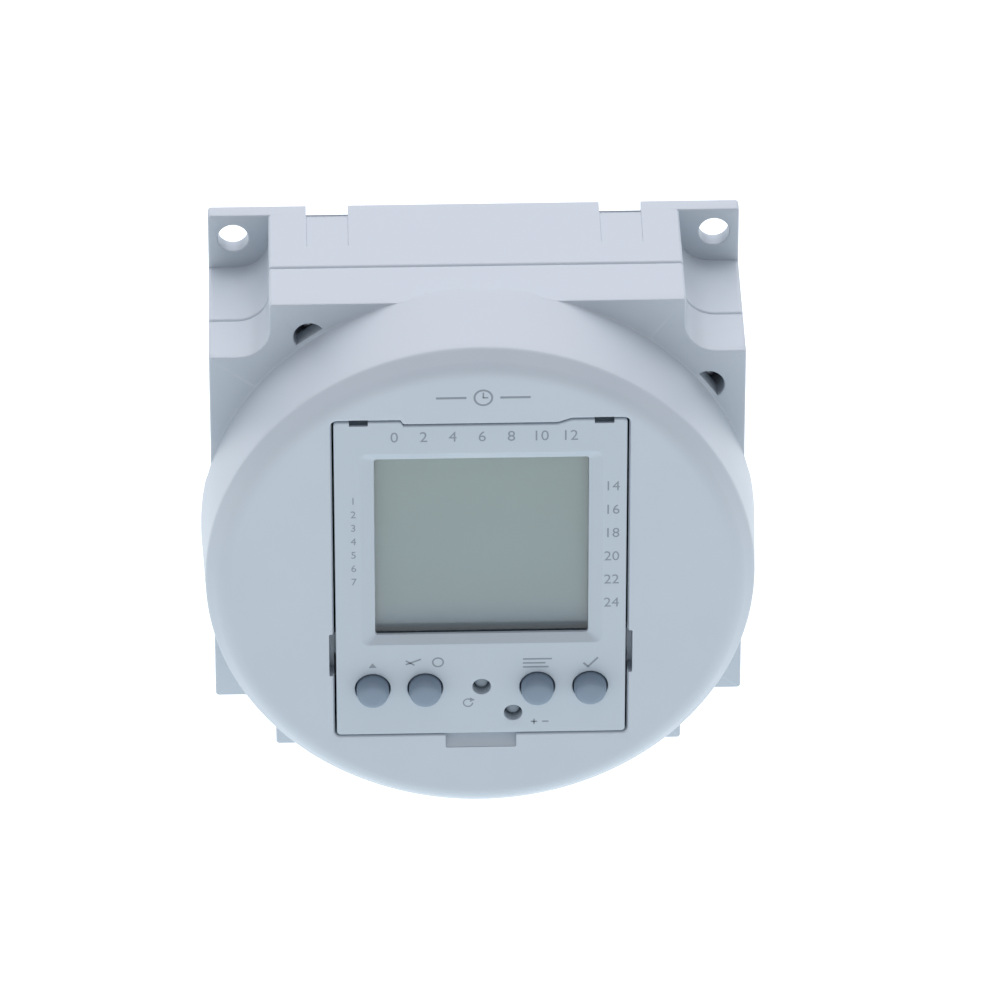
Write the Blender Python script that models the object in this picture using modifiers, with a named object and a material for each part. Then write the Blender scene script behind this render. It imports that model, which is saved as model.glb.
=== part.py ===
"""Rail timer: a square two-part case with a round front, a 36 mm wide timer insert,
four screw ears and a rail channel across the back.

The origin is the middle of the rail seat. +Z is up and the front looks along -Y.
Every piece hangs on an empty at the front face, so its own y is its depth behind that face.
Lengths in the functions are millimetres and are turned to metres where a mesh is made.
"""
import bpy
import bmesh
from math import acos, cos, pi, radians, sin
from mathutils import Matrix

MM = 0.001
GAP = 0.3                  # clearance between pieces that touch

# Case
CASE = 66.0                # width and height of the square case
HALF = CASE / 2
WALL = 2.0
RING_FRONT = 33.86         # radius of the round front at its front edge
RING_BACK = 34.4           # its radius where it meets the flange
RIM_WIDTH = 3.2            # rounded rim, measured along the face
RIM_DEPTH = 2.2            # rounded rim, measured backwards
RING_INNER = 31.4
FACE_WALL = 2.5
FLANGE = 13.6              # depth of the flange's front
SEAM = 22.0                # depth of the joint between the two halves of the case
EAR_FRONT = 34.1
REAR = 36.3                # depth of the ears' back
SEAT = 31.3                # depth of the rail seat
NOTCH_X = 25.5             # ear notches start here, measured from the middle
NOTCH_Z = 25.4
NOTCH_ROUND = 4.0
EAR_HOLE = (29.9, 29.65)   # where the ear holes are, sideways and upwards
EAR_HOLE_R = 1.9

# Case screws, a pair and its half-turn image
SCREWS = ((-20.6, 28.2), (28.4, 20.35), (20.6, -28.2), (-28.4, -20.35))
BOSS_R = 3.3
BORE_R = 1.95
HEAD_R = 2.3
BOSS_END = 27.0            # depth of the rear bosses' ends, where the screw heads sit

# Top hat rail, 35 mm wide with 1 mm flanges
CHANNEL = 17.8             # half height of the channel
HOOK_FRONT = 32.6          # the rail's flange lies between the seat and the hooks
HOOK_BACK = 34.6
HOOK_REACH = 2.0
RELIEF = 0.4               # groove along each edge of the seat, under the hooks and the latch
RELIEF_START = 15.6        # half height of the flat seat between the grooves

# Timer insert
PANEL_X = 17.9
PANEL_BOTTOM = -22.05
PANEL_TOP = 23.95
PANEL_SKIRT = 1.0
PANEL_PLATE = 2.0
PANEL_BACK = 13.0
SHOULDER = 0.6             # the panel's top corners stand this much higher
OPENING_GAP = 0.4
WINDOW_X = (-13.0, 13.25)
WINDOW_Z = (-7.33, 18.69)
WINDOW_BEVEL = (1.7, 1.18)  # width of the bevel at the sides, and above and below
WINDOW_STEP = 0.66         # depth of the bevel
POCKET = 1.0               # depth of the lens pocket in the plate's back

# Keys: name, x, z, cap radius, hole radius, how far the front stands in (+) or out (-)
KEYS = (
    ("up_button", -13.4, -15.1, 2.0, 2.3, -1.9),
    ("override_button", -6.9, -15.1, 2.0, 2.3, -1.9),
    ("menu_button", 7.0, -15.1, 2.0, 2.3, -1.9),
    ("ok_button", 13.55, -15.1, 2.0, 2.3, -1.9),
    ("reset_pin", 0.1, -15.0, 0.85, 1.2, 0.9),
    ("hour_shift_pin", 4.0, -19.0, 0.85, 1.2, 0.9),
)
KEY_TRAVEL = 0.8
KEY_FLANGE = (2.5, 3.5)    # depths of the collar that holds a key in
STEM_R = 1.0
STEM_END = 8.6
SWITCH = (8.0, 10.2)       # depths of the switch bodies
SWITCH_HALF = 1.8
LOGIC_BOARD = (10.5, 12.1)
POWER_BOARD = (24.0, 25.6)

# Relay, standing on the power board
RELAY_X = (-29.0, -19.0)
RELAY_Z = (-10.0, 10.0)
RELAY_TOP = 8.6
RELAY_BASE = 22.2
RELAY_WALL = 0.6
COIL_Z = -4.4
HINGE_Z = 0.9
HINGE_DEPTH = 11.9

# Tab terminals, 6.3 by 0.8 mm
TABS = (-19.5, -11.25, -3.0, 5.25, 13.5)
TAB_HALF = 3.15
TAB_DEPTH = (25.9, 26.7)
TAB_TIP = -41.2


# ---------------------------------------------------------------- tools

def clear_scene():
    for obj in list(bpy.data.objects):
        bpy.data.objects.remove(obj, do_unlink=True)


def collection(name):
    made = bpy.data.collections.new(name)
    bpy.context.scene.collection.children.link(made)
    return made


def finish(name, colour, roughness, metallic=0.0, alpha=1.0):
    """A Principled material."""
    made = bpy.data.materials.new(name)
    made.use_nodes = True
    shader = made.node_tree.nodes["Principled BSDF"]
    shader.inputs["Base Color"].default_value = (*colour, 1.0)
    shader.inputs["Roughness"].default_value = roughness
    shader.inputs["Metallic"].default_value = metallic
    shader.inputs["Alpha"].default_value = alpha
    return made


def box(bm, x, y, z):
    """Add a box over the ranges x, y and z."""
    size = [(high - low) * MM for low, high in (x, y, z)]
    middle = [(low + high) / 2 * MM for low, high in (x, y, z)]
    place = Matrix.Translation(middle) @ Matrix.Diagonal((*size, 1.0))
    return bmesh.ops.create_cube(bm, size=1.0, matrix=place)["verts"]


def rod(bm, x, z, radius, y, end_radius=None, sides=20):
    """Add a round bar along the depth range y."""
    end_radius = radius if end_radius is None else end_radius
    place = Matrix.Translation((x * MM, (y[0] + y[1]) / 2 * MM, z * MM)) @ Matrix.Rotation(-pi / 2, 4, "X")
    bmesh.ops.create_cone(bm, cap_ends=True, segments=sides, radius1=radius * MM,
                          radius2=end_radius * MM, depth=(y[1] - y[0]) * MM, matrix=place)


def bar(bm, x, y, z, radius, along, sides=16):
    """Add a round bar along x or z: the range is the value of that axis."""
    spans = {"X": x, "Z": z}[along]
    turn = Matrix.Rotation(pi / 2, 4, "Y") if along == "X" else Matrix.Identity(4)
    middle = sum(spans) / 2
    centre = (middle, y, z) if along == "X" else (x, y, middle)
    place = Matrix.Translation([value * MM for value in centre]) @ turn
    bmesh.ops.create_cone(bm, cap_ends=True, segments=sides, radius1=radius * MM,
                          radius2=radius * MM, depth=(spans[1] - spans[0]) * MM, matrix=place)


def round_edges(bm, verts, axis, radius, steps=3):
    """Round a box's edges that run along one axis."""
    edges = {edge for vert in verts for edge in vert.link_edges
             if abs((edge.verts[0].co - edge.verts[1].co).normalized()[axis]) > 0.99}
    bmesh.ops.bevel(bm, geom=list(edges), offset=radius * MM, segments=steps, profile=0.5, affect="EDGES")


def place(name, mesh, where, parent, at=(0.0, 0.0, 0.0)):
    obj = bpy.data.objects.new(name, mesh)
    where.objects.link(obj)
    obj.parent = parent
    obj.location = [value * MM for value in at]
    return obj


def piece(name, bm, material, at=(0.0, 0.0, 0.0)):
    """Make a named part from a bmesh whose own origin goes to the point at."""
    mesh = bpy.data.meshes.new(name)
    bm.to_mesh(mesh)
    bm.free()
    mesh.materials.append(material)
    mesh.shade_smooth()
    mesh.set_sharp_from_angle(angle=radians(35))
    return place(name, mesh, PARTS, FRONT, at)


def work(obj, bm, operation="DIFFERENCE"):
    """Cut obj with the shape in bm, or join it on. The shape is in obj's own space."""
    label = f"{obj.name}_tool_{len(obj.modifiers) + 1}"
    mesh = bpy.data.meshes.new(label)
    bm.to_mesh(mesh)
    bm.free()
    tool = place(label, mesh, TOOLS, obj)
    tool.hide_render = True
    tool.display_type = "WIRE"
    boolean = obj.modifiers.new(label, "BOOLEAN")
    boolean.operation = operation
    boolean.solver = "EXACT"
    boolean.object = tool


def turned(name, profile, material, at=(0.0, 0.0, 0.0), sides=32):
    """A turned solid about the depth axis: the profile is (radius, depth), front to back.

    The mesh runs back to front, so that the screwed faces point outwards."""
    mesh = bpy.data.meshes.new(name)
    points = [(radius * MM, depth * MM, 0.0) for radius, depth in reversed(profile)]
    mesh.from_pydata(points, [(i, i + 1) for i in range(len(points) - 1)], [])
    mesh.materials.append(material)
    obj = place(name, mesh, PARTS, FRONT, at)
    screw = obj.modifiers.new("turn", "SCREW")
    screw.axis = "Y"
    screw.steps = screw.render_steps = sides
    screw.use_merge_vertices = True
    screw.merge_threshold = 0.00001
    return obj


def corners():
    """The four sign pairs of the corners."""
    return [(sx, sz) for sx in (-1, 1) for sz in (-1, 1)]


def span(sign, low, high):
    """The range low..high on the side that sign gives."""
    return (low, high) if sign > 0 else (-high, -low)


# ---------------------------------------------------------------- case

def corner_notches(obj, y):
    """Cut the four corners away over the depth range y, with a rounded inner corner."""
    bm = bmesh.new()
    for sx, sz in corners():
        verts = box(bm, span(sx, NOTCH_X, HALF + 5), y, span(sz, NOTCH_Z, HALF + 5))
        inner = {edge for vert in verts for edge in vert.link_edges
                 if abs((edge.verts[0].co - edge.verts[1].co).normalized().y) > 0.99
                 and max(abs(v.co.x) for v in edge.verts) < (NOTCH_X + 1) * MM
                 and max(abs(v.co.z) for v in edge.verts) < (NOTCH_Z + 1) * MM}
        bmesh.ops.bevel(bm, geom=list(inner), offset=NOTCH_ROUND * MM, segments=5, profile=0.5, affect="EDGES")
    work(obj, bm)


def hollow_out(obj, y):
    """Cut the room inside the walls over the depth range y, clear of the corner notches."""
    inside = HALF - WALL
    for x, z in ((inside, NOTCH_Z - WALL), (NOTCH_X - WALL, inside)):
        bm = bmesh.new()
        box(bm, (-x, x), y, (-z, z))
        work(obj, bm)


def ring_profile():
    """The round front: flat face, rim arc that leaves the face flush, then the tapered side."""
    arc = (RIM_WIDTH ** 2 + RIM_DEPTH ** 2) / (2 * RIM_DEPTH)
    sweep = acos(1 - RIM_DEPTH / arc)
    steps = 5
    points = [(0.0, 0.0)]
    for step in range(steps + 1):
        turn = sweep * step / steps
        points.append((RING_FRONT - RIM_WIDTH + arc * sin(turn), arc * (1 - cos(turn))))
    return points + [(RING_BACK, FLANGE), (RING_BACK, FLANGE + 1), (0.0, FLANGE + 1)]


def panel_opening(obj):
    """The insert's opening, with its raised corners, side slots and the release notch below."""
    wide = PANEL_X + OPENING_GAP
    bm = bmesh.new()
    box(bm, (-wide, wide), (-1, FACE_WALL + 1), (PANEL_BOTTOM - OPENING_GAP, PANEL_TOP + OPENING_GAP))
    work(obj, bm)
    bm = bmesh.new()
    for side, inner in ((-1, 9.2), (1, 10.0)):
        box(bm, span(side, inner, wide), (-1, FACE_WALL + 1.2), (PANEL_TOP - 1, PANEL_TOP + OPENING_GAP + SHOULDER))
        box(bm, span(side, wide - 1, wide + 0.7), (-1.2, FACE_WALL + 1.4), (-12.9, -7.0))
    work(obj, bm)
    bm = bmesh.new()
    box(bm, (-4.4, 4.4), (-1, 1.5), (PANEL_BOTTOM - 2.2, PANEL_BOTTOM - 0.1))
    work(obj, bm)


def front_shell(material):
    """Round front, flange and the front half of the square case, moulded in one."""
    obj = turned("front_shell", ring_profile(), material, sides=96)
    bm = bmesh.new()
    box(bm, (-HALF, HALF), (FLANGE, SEAM - GAP / 2), (-HALF, HALF))
    work(obj, bm, "UNION")
    corner_notches(obj, (FLANGE - 0.5, SEAM + 1))
    bm = bmesh.new()
    rod(bm, 0, 0, RING_INNER, (FACE_WALL, FLANGE + WALL + 0.5), sides=64)
    work(obj, bm)
    hollow_out(obj, (FLANGE + WALL, SEAM + 1.1))
    bm = bmesh.new()
    for x, z in SCREWS:
        rod(bm, x, z, BOSS_R, (FLANGE + 0.7, SEAM - GAP / 2 - 0.1))
    work(obj, bm, "UNION")
    bm = bmesh.new()
    for x, z in SCREWS:
        rod(bm, x, z, BORE_R, (FLANGE - 0.4, SEAM + 1.2))
    work(obj, bm)
    panel_opening(obj)
    return obj


def rear_housing(material):
    """Rear half of the case: a square ring with the four screw ears."""
    bm = bmesh.new()
    box(bm, (-HALF, HALF), (SEAM + GAP / 2, REAR), (-HALF, HALF))
    obj = piece("rear_housing", bm, material)
    corner_notches(obj, (SEAM - 1, EAR_FRONT))
    hollow_out(obj, (SEAM - 1.1, REAR + 1))
    bm = bmesh.new()
    for x, z in SCREWS:
        rod(bm, x, z, BOSS_R, (SEAM + GAP / 2 + 0.1, BOSS_END))
    work(obj, bm, "UNION")
    bm = bmesh.new()
    for x, z in SCREWS:
        rod(bm, x, z, BORE_R, (SEAM - 1.2, BOSS_END + 1))
    for sx, sz in corners():
        rod(bm, sx * EAR_HOLE[0], sz * EAR_HOLE[1], EAR_HOLE_R, (EAR_FRONT - 1, REAR + 1.2), sides=32)
    work(obj, bm)
    bm = bmesh.new()
    for x, z in SCREWS:
        rod(bm, x, z, HEAD_R + GAP, (BOSS_END, BOSS_END + 2.3))
    work(obj, bm)
    bm = bmesh.new()
    for sx, sz in corners():
        box(bm, span(sx, 15.6, 20.8), (34.0, REAR + 1.3), span(sz, HALF - WALL - 0.5, HALF + 1))
        box(bm, span(sx, 9.5, 14.1), (27.2, 29.1), span(sz, HALF - WALL - 0.6, HALF - WALL + 0.8))
    work(obj, bm)
    bm = bmesh.new()
    box(bm, (-HALF - 1, HALF + 1), (SEAT - GAP, REAR + 1.4), (-CHANNEL - 2.4, CHANNEL + 2.4))
    work(obj, bm)
    bm = bmesh.new()
    box(bm, (-6.3, 6.3), (32.3, REAR + 1.5), (-HALF - 1, -HALF + WALL + 1))
    for x in TABS:
        box(bm, (x - TAB_HALF - GAP, x + TAB_HALF + GAP), (TAB_DEPTH[0] - GAP, TAB_DEPTH[1] + GAP),
            (-HALF - 1.1, -HALF + WALL + 1))
    work(obj, bm)
    return obj


def rear_cover(material):
    """Back plate that snaps into the rear housing and carries the rail channel and its hooks."""
    inside = HALF - WALL - GAP
    bm = bmesh.new()
    box(bm, (-inside, inside), (34.1, REAR - 0.1), (-inside, inside))
    obj = piece("rear_cover", bm, material)
    bm = bmesh.new()
    for sx, sz in corners():
        box(bm, span(sx, NOTCH_X - WALL - GAP, HALF), (33, REAR + 1), span(sz, NOTCH_Z - WALL - GAP, HALF))
    work(obj, bm)
    bm = bmesh.new()
    box(bm, (-inside, inside), (SEAT - WALL, REAR - 0.2), (-CHANNEL - 2.1, CHANNEL + 2.1))
    work(obj, bm, "UNION")
    bm = bmesh.new()
    box(bm, (-8.5, 8.5), (30.3, REAR - 0.3), (-inside + 0.1, -CHANNEL - 1))
    work(obj, bm, "UNION")
    bm = bmesh.new()
    for sx, sz in corners():
        box(bm, span(sx, 9.8, 13.8), (27.6, 35.0), span(sz, inside - 1.5, inside - 0.05))
    work(obj, bm, "UNION")
    bm = bmesh.new()
    for sx, sz in corners():
        box(bm, span(sx, 10.0, 13.6), (27.8, 28.8), span(sz, inside - 0.6, inside + 0.7))
    work(obj, bm, "UNION")
    bm = bmesh.new()
    box(bm, (-HALF, HALF), (SEAT, REAR + 1), (-CHANNEL, CHANNEL))
    work(obj, bm)
    bm = bmesh.new()
    for side in (-1, 1):
        box(bm, (-HALF, HALF), (SEAT - RELIEF, SEAT + 0.2), span(side, RELIEF_START, CHANNEL))
    work(obj, bm)
    bm = bmesh.new()
    for side in (-1, 1):
        box(bm, span(side, 14, 26), (HOOK_FRONT, HOOK_BACK), (CHANNEL - HOOK_REACH, CHANNEL + 0.5))
    work(obj, bm, "UNION")
    latch_slot(obj)
    return obj


def latch_slot(obj):
    """Guide for the rail latch: a slot with lips behind it, and the lug its spring stands on."""
    bm = bmesh.new()
    box(bm, (-6.3, 6.3), (32.3, 35.3), (-HALF, -CHANNEL + 1))
    work(obj, bm)
    bm = bmesh.new()
    box(bm, (-4.6, 4.6), (35.0, REAR + 1.1), (-HALF - 0.1, -CHANNEL + 1.1))
    work(obj, bm)
    bm = bmesh.new()
    box(bm, (-2.0, 2.0), (31.8, 34.6), (-29.4, -28.2))
    work(obj, bm, "UNION")


def rail_latch(material):
    """Sliding foot that catches the rail's lower edge: pulled down to let go."""
    bm = bmesh.new()
    box(bm, (-6.0, 6.0), (32.6, 35.0), (-36.8, -15.9))
    obj = piece("rail_latch", bm, material, at=(0.0, 0.0, 0.0))
    bm = bmesh.new()
    nose = box(bm, (-7, 7), (33.6, 36.0), (-18.0, -15.0))
    for vert in nose:
        if vert.co.z < -16.5 * MM:
            vert.co.y += 1.6 * MM
    work(obj, bm)
    bm = bmesh.new()
    box(bm, (-2.4, 2.4), (32, 36), (-30.1, -21.5))
    box(bm, (-2.5, 2.5), (31.9, 36.1), (-35.4, -34.4))
    work(obj, bm)
    return obj


def latch_spring(material):
    """Compression spring between the latch's window and the lug, 6.1 mm long."""
    turns, per_turn, coil, wire = 5, 9, 0.95, 0.18
    low, high = -27.7, -22.0
    curve = bpy.data.curves.new("latch_spring", "CURVE")
    curve.dimensions = "3D"
    curve.bevel_depth = wire * MM
    curve.bevel_resolution = 1
    curve.use_fill_caps = True
    line = curve.splines.new("POLY")
    count = turns * per_turn + 1
    line.points.add(count - 1)
    for i, point in enumerate(line.points):
        turn = 2 * pi * i / per_turn
        rise = low + (high - low) * i / (count - 1)
        point.co = (coil * cos(turn) * MM, (33.8 + coil * sin(turn)) * MM, rise * MM, 1.0)
    curve.materials.append(material)
    obj = bpy.data.objects.new("latch_spring", curve)
    PARTS.objects.link(obj)
    obj.parent = FRONT
    return obj


def case_screws(material):
    """Four self-tapping screws from the rear bosses into the front ones."""
    for number, (x, z) in enumerate(SCREWS, 1):
        profile = [(0, 16.4), (0.7, 16.6), (1.45, 18.2), (1.45, BOSS_END + GAP),
                   (HEAD_R, BOSS_END + GAP), (HEAD_R, BOSS_END + 1.3), (1.7, BOSS_END + 1.9), (0, BOSS_END + 1.9)]
        obj = turned(f"case_screw_{number}", [(r, y - BOSS_END) for r, y in profile], material,
                     at=(x, BOSS_END, z), sides=16)
        bm = bmesh.new()
        box(bm, (-1.4, 1.4), (1.1, 2.5), (-0.25, 0.25))
        work(obj, bm)


# ---------------------------------------------------------------- timer insert

def panel_frame(material):
    """Front of the insert: a plate with the window and key holes, and a skirt round its back."""
    bm = bmesh.new()
    box(bm, (-PANEL_X, PANEL_X), (0, PANEL_BACK), (PANEL_BOTTOM, PANEL_TOP))
    obj = piece("panel_frame", bm, material)
    bm = bmesh.new()
    for side, inner in ((-1, 9.6), (1, 10.4)):
        box(bm, span(side, inner, PANEL_X - 0.05), (0.05, 1.9), (PANEL_TOP - 0.5, PANEL_TOP + SHOULDER))
        box(bm, span(side, PANEL_X - 0.5, 19.3), (2.8, 4.0), (-11.5, -8.4))
    work(obj, bm, "UNION")
    bm = bmesh.new()
    inside = PANEL_X - PANEL_SKIRT
    box(bm, (-inside, inside), (PANEL_PLATE, PANEL_BACK + 1),
        (PANEL_BOTTOM + PANEL_SKIRT, PANEL_TOP - PANEL_SKIRT))
    work(obj, bm)
    bm = bmesh.new()
    box(bm, WINDOW_X, (-1, PANEL_PLATE + 1), WINDOW_Z)
    work(obj, bm)
    bm = bmesh.new()
    spread = 1 + 0.5 / WINDOW_STEP
    for vert in box(bm, WINDOW_X, (-0.5, WINDOW_STEP), WINDOW_Z):
        if vert.co.y < 0:
            vert.co.x += WINDOW_BEVEL[0] * spread * MM * (1 if vert.co.x > 0 else -1)
            vert.co.z += WINDOW_BEVEL[1] * spread * MM * (1 if vert.co.z > 0 else -1)
    work(obj, bm)
    bm = bmesh.new()
    box(bm, (-15.5, 15.5), (POCKET, PANEL_PLATE + 1.1), (-9.3, 21.2))
    work(obj, bm)
    bm = bmesh.new()
    for _, x, z, _, hole, _ in KEYS:
        rod(bm, x, z, hole, (-1, PANEL_PLATE + 1.2), sides=24)
    work(obj, bm)
    return obj


def keys(cap_material, pin_material):
    """Four domed caps and two recessed pins, each with a collar and a stem to its switch."""
    for name, x, z, radius, _, front in KEYS:
        collar = radius + 0.85
        dome = 0.25 * radius if front < 0 else 0.2
        tip = radius * 0.95
        profile = [(0, front), (tip * 0.55, front + dome * 0.18), (tip * 0.85, front + dome * 0.5),
                   (tip, front + dome), (radius, KEY_FLANGE[0]), (collar, KEY_FLANGE[0]), (collar, KEY_FLANGE[1]),
                   (STEM_R if radius > 1 else 0.8, KEY_FLANGE[1]), (STEM_R if radius > 1 else 0.8, STEM_END),
                   (0, STEM_END)]
        turned(name, profile, cap_material if front < 0 else pin_material, at=(x, 0, z), sides=20)


def key_switches(material):
    """A tact switch behind each key, its plunger well open to the front."""
    for name, x, z, *_ in KEYS:
        bm = bmesh.new()
        box(bm, (-SWITCH_HALF, SWITCH_HALF), SWITCH, (-SWITCH_HALF, SWITCH_HALF))
        obj = piece(name.rsplit("_", 1)[0] + "_switch", bm, material, at=(x, 0, z))
        bm = bmesh.new()
        rod(bm, 0, 0, STEM_R + GAP, (SWITCH[0] - 1, SWITCH[1] - 0.4), sides=16)
        work(obj, bm)


def display(clear, glass, foil, black, elastomer):
    """Window, liquid crystal cell, reflector, holder and the two contact strips."""
    for name, x, y, z, material in (
        ("lcd_window", (-15.2, 15.2), (POCKET + GAP, 2.5), (-9.0, 20.9), clear),
        ("lcd_cell", (-15.2, 15.2), (2.8, 4.9), (-9.5, 21.2), glass),
        ("lcd_reflector", (-14.6, 14.6), (5.2, 5.5), (-6.6, 18.3), foil),
        ("contact_strip_top", (-14.4, 14.4), (5.2, 10.2), (18.8, 21.0), elastomer),
        ("contact_strip_bottom", (-14.4, 14.4), (5.2, 10.2), (-9.3, -7.1), elastomer),
    ):
        bm = bmesh.new()
        box(bm, x, y, z)
        piece(name, bm, material)
    bm = bmesh.new()
    box(bm, (-16.5, 16.5), (2.8, 10.2), (-10.4, 22.6))
    obj = piece("lcd_holder", bm, black)
    bm = bmesh.new()
    box(bm, (-15.6, 15.6), (2, 11), (-9.8, 21.6))
    work(obj, bm)


def logic_side(laminate, chip, can, steel, black, tin):
    """The insert's board with its chip, crystal, backup cell and the pin header to the power board."""
    bm = bmesh.new()
    box(bm, (-16.6, 16.6), LOGIC_BOARD, (-20.7, 22.6))
    piece("logic_board", bm, laminate)
    behind = LOGIC_BOARD[1] + GAP
    bm = bmesh.new()
    round_edges(bm, box(bm, (6.5, 15.5), (behind, behind + 1.5), (8.5, 17.5)), 1, 0.5, 1)
    piece("microcontroller", bm, chip)
    bm = bmesh.new()
    bar(bm, (8.0, 14.4), behind + 1.1, 4.5, 1.0, "X", sides=14)
    piece("clock_crystal", bm, can)
    bm = bmesh.new()
    rod(bm, 0, 0, 11.2, (0, 3.6), sides=40)
    obj = piece("battery_holder", bm, black, at=(-5.2, behind, 7.5))
    bm = bmesh.new()
    rod(bm, 0, 0, 10.3, (0.9, 5), sides=40)
    work(obj, bm)
    bm = bmesh.new()
    rod(bm, 0, 0, 10.0, (0, 3.0), sides=40)
    piece("backup_battery", bm, steel, at=(-5.2, behind + 1.2, 7.5))
    bm = bmesh.new()
    box(bm, (-2.0, 2.0), (0, 0.3), (-12.2, 4.0))
    box_leg(bm)
    piece("battery_contact", bm, steel, at=(-5.2, behind + 4.5, 7.5))
    bm = bmesh.new()
    box(bm, (-1.25, 1.25), (0, 5.2), (-6.5, 6.5))
    obj = piece("pin_header", bm, tin, at=(13.5, behind, -9.0))
    bm = bmesh.new()
    for number in range(5):
        middle = (number - 2) * 2.54
        box(bm, (-0.32, 0.32), (4.5, 9.4), (middle - 0.32, middle + 0.32))
    work(obj, bm, "UNION")
    bm = bmesh.new()
    box(bm, (-1.6, 1.6), (18.0, POWER_BOARD[0] - GAP), (-6.9, 6.9))
    obj = piece("pin_socket", bm, black, at=(13.5, 0, -9.0))
    bm = bmesh.new()
    for number in range(5):
        middle = (number - 2) * 2.54
        box(bm, (-0.65, 0.65), (17.0, 22.6), (middle - 0.65, middle + 0.65))
    work(obj, bm)


def box_leg(bm):
    """The battery contact's foot, bent down beside the holder. It starts inside the strip."""
    strip_end = [face for face in bm.faces if face.calc_center_median().z < -12.0 * MM]
    grown = bmesh.ops.extrude_face_region(bm, geom=strip_end)
    moved = [item for item in grown["geom"] if isinstance(item, bmesh.types.BMVert)]
    bmesh.ops.translate(bm, verts=moved, vec=(0, 0, -0.4 * MM))
    bmesh.ops.delete(bm, geom=strip_end, context="FACES")
    under = [face for face in bm.faces
             if face.normal.y < -0.9 and face.calc_center_median().z < -12.2 * MM]
    grown = bmesh.ops.extrude_face_region(bm, geom=under)
    moved = [item for item in grown["geom"] if isinstance(item, bmesh.types.BMVert)]
    bmesh.ops.translate(bm, verts=moved, vec=(0, -3.9 * MM, 0))
    bmesh.ops.delete(bm, geom=under, context="FACES")


# ---------------------------------------------------------------- power side

def power_side(laminate, film, sleeve, ceramic, chip, tin):
    """The power board in the case with the parts that feed the insert, and the tab terminals."""
    bm = bmesh.new()
    box(bm, (-24.7, 24.7), POWER_BOARD, (-22.8, 22.8))
    piece("power_board", bm, laminate)
    front = POWER_BOARD[0] - GAP
    bm = bmesh.new()
    round_edges(bm, box(bm, (19.3, 27.0), (9.6, front), (-8.5, 8.5)), 1, 0.8, 2)
    piece("dropper_capacitor", bm, film)
    bm = bmesh.new()
    bar(bm, (-8.0, 3.0), front - 3.2, -16.0, 3.1, "X", sides=24)
    piece("smoothing_capacitor", bm, sleeve)
    bm = bmesh.new()
    rod(bm, 0, 0, 3.6, (0, 3.8), sides=24)
    piece("varistor", bm, ceramic, at=(5.0, front - 4.4, 16.0))
    bm = bmesh.new()
    bar(bm, (-11.0, -2.5), front - 2.0, 18.0, 1.6, "X", sides=16)
    piece("fuse_resistor", bm, ceramic)
    bm = bmesh.new()
    round_edges(bm, box(bm, (5.5, 11.5), (front - 2.6, front), (-1.0, 5.5)), 1, 0.4, 1)
    piece("rectifier", bm, chip)
    for number, x in enumerate(TABS, 1):
        bm = bmesh.new()
        tab = box(bm, (-TAB_HALF, TAB_HALF), TAB_DEPTH, (TAB_TIP, -17.5))
        low = {edge for vert in tab for edge in vert.link_edges
               if abs((edge.verts[0].co - edge.verts[1].co).normalized().y) > 0.99
               and max(v.co.z for v in edge.verts) < -40 * MM}
        bmesh.ops.bevel(bm, geom=list(low), offset=1.2 * MM, segments=1, profile=0.5, affect="EDGES")
        obj = piece(f"tab_terminal_{number}", bm, tin, at=(x, 0, 0))
        bm = bmesh.new()
        rod(bm, 0, -38.0, 0.85, (TAB_DEPTH[0] - 1, TAB_DEPTH[1] + 1), sides=16)
        work(obj, bm)


def relay(black, clear, copper, iron, silver):
    """The switching relay: base, cover, coil, yoke, hinged armature, contact arm and fixed contact."""
    middle = sum(RELAY_X) / 2
    bm = bmesh.new()
    box(bm, RELAY_X, (RELAY_BASE, POWER_BOARD[0] - GAP), RELAY_Z)
    piece("relay_base", bm, black)
    bm = bmesh.new()
    box(bm, RELAY_X, (RELAY_TOP, RELAY_BASE - GAP), RELAY_Z)
    obj = piece("relay_cover", bm, clear)
    bm = bmesh.new()
    box(bm, (RELAY_X[0] + RELAY_WALL, RELAY_X[1] - RELAY_WALL), (RELAY_TOP + RELAY_WALL, RELAY_BASE + 1),
        (RELAY_Z[0] + RELAY_WALL, RELAY_Z[1] - RELAY_WALL))
    work(obj, bm)
    profile = [(0, 12.4), (1.5, 12.4), (1.5, 13.0), (4.0, 13.0), (4.0, 13.7), (3.5, 13.7),
               (3.5, 19.9), (4.0, 19.9), (4.0, 20.6), (0, 20.6)]
    turned("relay_coil", profile, copper, at=(middle, 0, COIL_Z), sides=24)
    bm = bmesh.new()
    box(bm, (-3.8, 3.8), (HINGE_DEPTH + GAP, 21.8), (HINGE_Z - 0.7, HINGE_Z + 0.5))
    obj = piece("relay_yoke", bm, iron, at=(middle, 0, 0))
    bm = bmesh.new()
    box(bm, (-3.7, 3.7), (20.9, 21.7), (COIL_Z - 4.2, HINGE_Z))
    work(obj, bm, "UNION")
    bm = bmesh.new()
    box(bm, (-3.6, 3.6), (-1.0, -0.2), (-9.2, 1.0))
    piece("relay_armature", bm, iron, at=(middle, HINGE_DEPTH, HINGE_Z))
    bm = bmesh.new()
    box(bm, (-1.8, 1.8), (-0.9, -0.6), (1.3, 7.4))
    piece("relay_contact_arm", bm, silver, at=(middle, HINGE_DEPTH, HINGE_Z))
    bm = bmesh.new()
    box(bm, (-1.6, 1.6), (9.7, 21.8), (8.8, 9.1))
    obj = piece("relay_fixed_contact", bm, silver, at=(middle, 0, 0))
    bm = bmesh.new()
    box(bm, (-1.5, 1.5), (9.75, 10.1), (6.6, 9.0))
    work(obj, bm, "UNION")


# ---------------------------------------------------------------- assembly

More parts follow.
